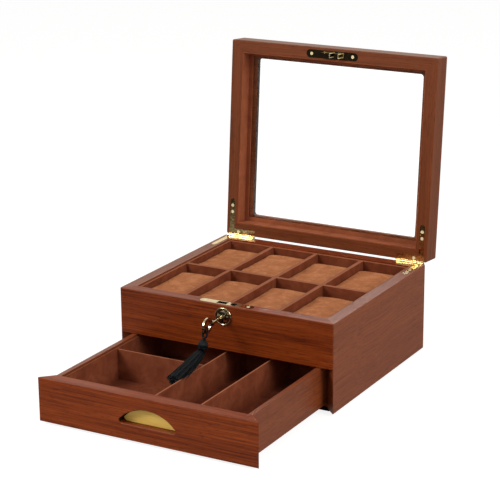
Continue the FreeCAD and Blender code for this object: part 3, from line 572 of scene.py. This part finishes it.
def cord_loop():
    """Two strands twisted round each other, along a slim loop from the knot over the bow's band."""
    down = (knot - hook) / np.linalg.norm(knot - hook)
    side = np.array((1.0, 0.0, 0.0))
    crest = hook - down * loop_rise
    line = []
    for step in range(loop_steps + 1):
        share = step / loop_steps
        from_knot = min(share, 1 - share)
        if from_knot < loop_leg_share:
            leg = side * math.copysign(loop_half_width * min(1, from_knot * 8), share - 0.5)
            line.append(knot + leg + (crest - knot) * from_knot / loop_leg_share)
        else:
            turn = math.pi * (share - loop_leg_share) / (1 - 2 * loop_leg_share)
            line.append(crest - loop_half_width * (side * math.cos(turn) + down * math.sin(turn)))
    line = np.array(line)
    length = np.concatenate(([0], np.cumsum(np.linalg.norm(np.diff(line, axis=0), axis=1))))
    fine = np.linspace(0, length[-1], cord_points)
    place = np.array([np.interp(fine, length, line[:, k]) for k in range(3)]).T
    run = np.gradient(place, axis=0)
    run /= np.linalg.norm(run, axis=1)[:, None]
    flat = np.cross(side, down)
    lift = np.cross(run, flat)
    paths = []
    for ply in range(2):
        turn = 2 * math.pi * fine / cord_twist + math.pi * ply
        paths.append(place + strand * (np.cos(turn)[:, None] * flat + np.sin(turn)[:, None] * lift))
    return tube_mesh(paths, [strand * 0.95] * 2, 6)


def circle_points(middle, first, second, radius, steps):
    """Points round a circle, the first one twice, so that it closes."""
    turns = [2 * math.pi * step / steps for step in range(steps + 1)]
    return [middle + (math.cos(turn) * first + math.sin(turn) * second) * radius for turn in turns]


def bound_head():
    """Threads drawn over a bead from knot to neck, bound at the neck, with the cord's knot above. The profile
    and the bindings give the place along the axis and the distance from it, in mm."""
    axis = (knot - head) / np.linalg.norm(knot - head)
    side = np.cross(axis, (1.0, 0.0, 0.0))
    side /= np.linalg.norm(side)
    lift = np.cross(axis, side)
    paths, radii = [], []
    profile = [(7.6, 1.2), (6.6, 2.2), (5.2, 3.7), (3.2, 5.0), (1.0, 5.6), (-1.2, 5.5), (-3.0, 4.8),
               (-4.2, 4.0)]
    bindings = [(6.3, 2.9), (5.6, 3.6), (-2.9, 5.3), (-3.6, 4.9)]
    for k in range(head_threads):
        turn = 2 * math.pi * k / head_threads
        out = math.cos(turn) * side + math.sin(turn) * lift
        paths.append([head + (axis * along + out * reach) * MM for along, reach in profile])
        radii.append(head_thread_radius)
    for along, reach in bindings:
        paths.append(circle_points(head + axis * along * MM, side, lift, reach * MM, 32))
        radii.append(binding_radius)
    for bight in range(3):
        lean = axis * math.cos(2.1 * bight) + side * math.sin(2.1 * bight)
        first = np.cross(lean, (0.3, 0.2, 0.93))
        first /= np.linalg.norm(first)
        second = np.cross(lean, first)
        paths.append(circle_points(knot + lean * knot_bight_offset, first, second, knot_bight_radius, 24))
        radii.append(knot_cord_radius)
    return tube_mesh(paths, radii, 6)


def loose_skirt():
    """Cut threads that leave the neck side by side in tufts and fan out, each with its own small wave."""
    length = np.linalg.norm(skirt_run)
    run = skirt_run / length
    side = np.cross(run, (0.0, 0.0, 1.0))
    side /= np.linalg.norm(side)
    lift = np.cross(side, run)
    paths, radii = [], []
    for k in range(skirt_threads):
        share = math.sqrt((k + 0.5) / skirt_threads)
        turn = golden_angle * k
        wave = dice.uniform(0, 6.28)
        reach = length * dice.uniform(0.93, 1.0)
        tuft = 1 - 0.16 * math.cos(11 * turn)
        lean = dice.uniform(-0.05, 0.05)
        path = []
        for step in range(15):
            along = step / 14
            radius = (3.6 + 2.2 * min(1, along * 5) + 2.4 * along) * share * tuft * MM
            sag = -0.9 * MM * math.sin(math.pi * along)
            drift = 0.35 * MM * along * math.sin(5 * along + wave)
            around = turn + lean * along
            path.append(neck + run * reach * along + side * (radius * math.cos(around) + drift)
                        + lift * (radius * math.sin(around) + sag))
        paths.append(path)
        radii.append(skirt_thread_radius)
    return tube_mesh(paths, radii, 5)


cord_piece = new_piece("tassel_twisted_cord", *cord_loop(), black_yarn, "tassel", "black_yarn")
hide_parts("tassel_loop")
head_piece = new_piece("tassel_bound_head", *bound_head(), black_yarn, "tassel", "black_yarn")
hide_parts("tassel_head")
skirt_piece = new_piece("tassel_threads", *loose_skirt(), black_yarn, "skirt", "black_yarn")
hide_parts("tassel_skirt")

# Camera, from the fit of the box's edges to the 500 x 500 photograph: place, then turn in radians
camera_place = Vector((0.99245, -1.82972, 0.77941))
camera_yaw, camera_pitch, camera_roll = -0.51187, 0.31261, -0.00826
focal_pixels = 1793.26
picture_side = 500
optical_centre_down = 280
ahead = Vector((math.sin(camera_yaw) * math.cos(camera_pitch), math.cos(camera_yaw) * math.cos(camera_pitch),
                -math.sin(camera_pitch)))
sideways = Vector((math.cos(camera_yaw), -math.sin(camera_yaw), 0))
upward = sideways.cross(ahead)
picture_right = sideways * math.cos(camera_roll) + upward * math.sin(camera_roll)
picture_up = upward * math.cos(camera_roll) - sideways * math.sin(camera_roll)
lens = bpy.data.cameras.new("camera")
lens.sensor_width = 36.0
lens.lens = focal_pixels / picture_side * lens.sensor_width
lens.shift_y = (optical_centre_down - picture_side / 2) / picture_side
lens.clip_start = 0.05
lens.clip_end = 50.0
camera = bpy.data.objects.new("camera", lens)
scene.collection.objects.link(camera)
turn = Matrix((picture_right, picture_up, -ahead)).transposed().to_4x4()
camera.matrix_world = Matrix.Translation(camera_place) @ turn
scene.camera = camera

# Pale studio: white floor and surroundings, and three soft lamps, above, at the right and at the front left
floor_half = 12.0
floor_drop = 0.0002
corners = [(-floor_half, -floor_half, -floor_drop), (floor_half, -floor_half, -floor_drop),
           (floor_half, floor_half, -floor_drop), (-floor_half, floor_half, -floor_drop)]
floor_mesh = bpy.data.meshes.new("studio_floor")
floor_mesh.from_pydata(corners, [], [(0, 1, 2, 3)])
floor = bpy.data.objects.new("studio_floor", floor_mesh)
scene.collection.objects.link(floor)


def seen_through(tree):
    """Two factors: 1 for camera rays and rays through the glass, and 1 for mirrored rays."""
    path = add(tree, "LightPath")
    straight = add(tree, "Math", {0: path.outputs["Is Camera Ray"], 1: path.outputs["Is Transmission Ray"]},
                   operation="MAXIMUM").outputs[0]
    return straight, path.outputs["Is Glossy Ray"]


# The floor: white paper to the eye, pale grey as it lights the box, and in mirrored rays darker towards the
# front, as with a black card before the box, which keeps the veneer deep and the brass contrasted
warm_white = (1.0, 0.94, 0.84, 1)
paper = bpy.data.materials.new("white_studio_paper")
paper.use_nodes = True
paper.node_tree.nodes.clear()
tree = paper.node_tree
straight, mirrored = seen_through(tree)
bounce = add(tree, "BsdfDiffuse", {"Color": (0.62, 0.62, 0.62, 1)}).outputs[0]
shadowed = add(tree, "BsdfDiffuse", {"Color": (0.30, 0.30, 0.30, 1)}).outputs[0]
through_glass = add(tree, "LightPath").outputs["Is Transmission Ray"]
glow_level = add(tree, "MapRange", {0: through_glass, 3: 0.86, 4: 1.02}).outputs[0]
glow = add(tree, "Emission", {"Color": (1, 1, 1, 1), "Strength": glow_level}).outputs[0]
lit = add(tree, "AddShader", {0: shadowed, 1: glow}).outputs[0]
depth = add(tree, "SeparateXYZ", {0: add(tree, "TexCoord").outputs["Object"]}).outputs["Y"]
card = add(tree, "ValToRGB", {"Fac": add(tree, "MapRange", {0: depth, 1: -5.0, 2: 1.0}).outputs[0]},
           ramp=[(0.70, 0.02), (0.735, 0.34)]).outputs[0]
reflected = add(tree, "Emission", {"Color": warm_white, "Strength": card}).outputs[0]
sheet = add(tree, "MixShader", {0: mirrored, 1: bounce, 2: reflected}).outputs[0]
sheet = add(tree, "MixShader", {0: straight, 1: sheet, 2: lit}).outputs[0]
add(tree, "OutputMaterial", {"Surface": sheet})
floor_mesh.materials.append(paper)

# The surroundings: white to the eye, an even grey as they light the box, and in mirrored rays bright above
# and behind the box and dark before it
world = bpy.data.worlds.new("studio")
scene.world = world
world.use_nodes = True
tree = world.node_tree
tree.nodes.clear()
straight, mirrored = seen_through(tree)
heading = add(tree, "TexCoord").outputs["Generated"]
height = add(tree, "SeparateXYZ", {0: heading}).outputs["Z"]
level = add(tree, "MapRange", {0: height, 1: 0.0, 2: 0.8, 3: 0.30, 4: 0.36}).outputs[0]
toward = add(tree, "VectorMath", {0: heading, 1: (-0.15, 0.8, 0.58)},
             operation="DOT_PRODUCT").outputs["Value"]
behind = add(tree, "MapRange", {0: toward, 1: -0.2, 2: 0.9, 3: 0.03, 4: 1.05}).outputs[0]
band = add(tree, "ValToRGB", {"Fac": height},
           ramp=[(0.14, 0.0), (0.92, 0.9), (0.26, 0.5), (0.46, 0.5), (0.62, 0.0), (0.8, 0.0)]).outputs[0]
screen = add(tree, "Math", {0: behind, 1: band}, operation="MAXIMUM").outputs[0]
surround = add(tree, "Background", {"Color": (1, 1, 1, 1), "Strength": level}).outputs[0]
mirror_side = add(tree, "Background", {"Color": warm_white, "Strength": screen}).outputs[0]
white = add(tree, "Background", {"Color": (1, 1, 1, 1), "Strength": 1.0}).outputs[0]
mixed = add(tree, "MixShader", {0: mirrored, 1: surround, 2: mirror_side}).outputs[0]
mixed = add(tree, "MixShader", {0: straight, 1: mixed, 2: white}).outputs[0]
add(tree, "OutputWorld", {"Surface": mixed})


def soft_lamp(name, place, aim, side, watts):
    """A square, slightly warm lamp of this side, aimed at a point."""
    lamp = bpy.data.lights.new(name, "AREA")
    lamp.shape = "SQUARE"
    lamp.size = side
    lamp.energy = watts
    lamp.color = (1.0, 0.95, 0.87)
    holder = bpy.data.objects.new(name, lamp)
    scene.collection.objects.link(holder)
    holder.location = place
    holder.rotation_euler = (Vector(aim) - Vector(place)).to_track_quat("-Z", "Y").to_euler()


soft_lamp("key_softbox", (-0.9, -1.1, 2.4), (0, -0.05, 0.12), 1.4, 4.5)
soft_lamp("fill_softbox", (1.9, -0.3, 1.2), (0, 0, 0.12), 1.2, 27)
soft_lamp("front_softbox", (-1.1, -1.5, 1.3), (-0.05, -0.15, 0.12), 0.7, 23)

scene.view_settings.view_transform = "Standard"
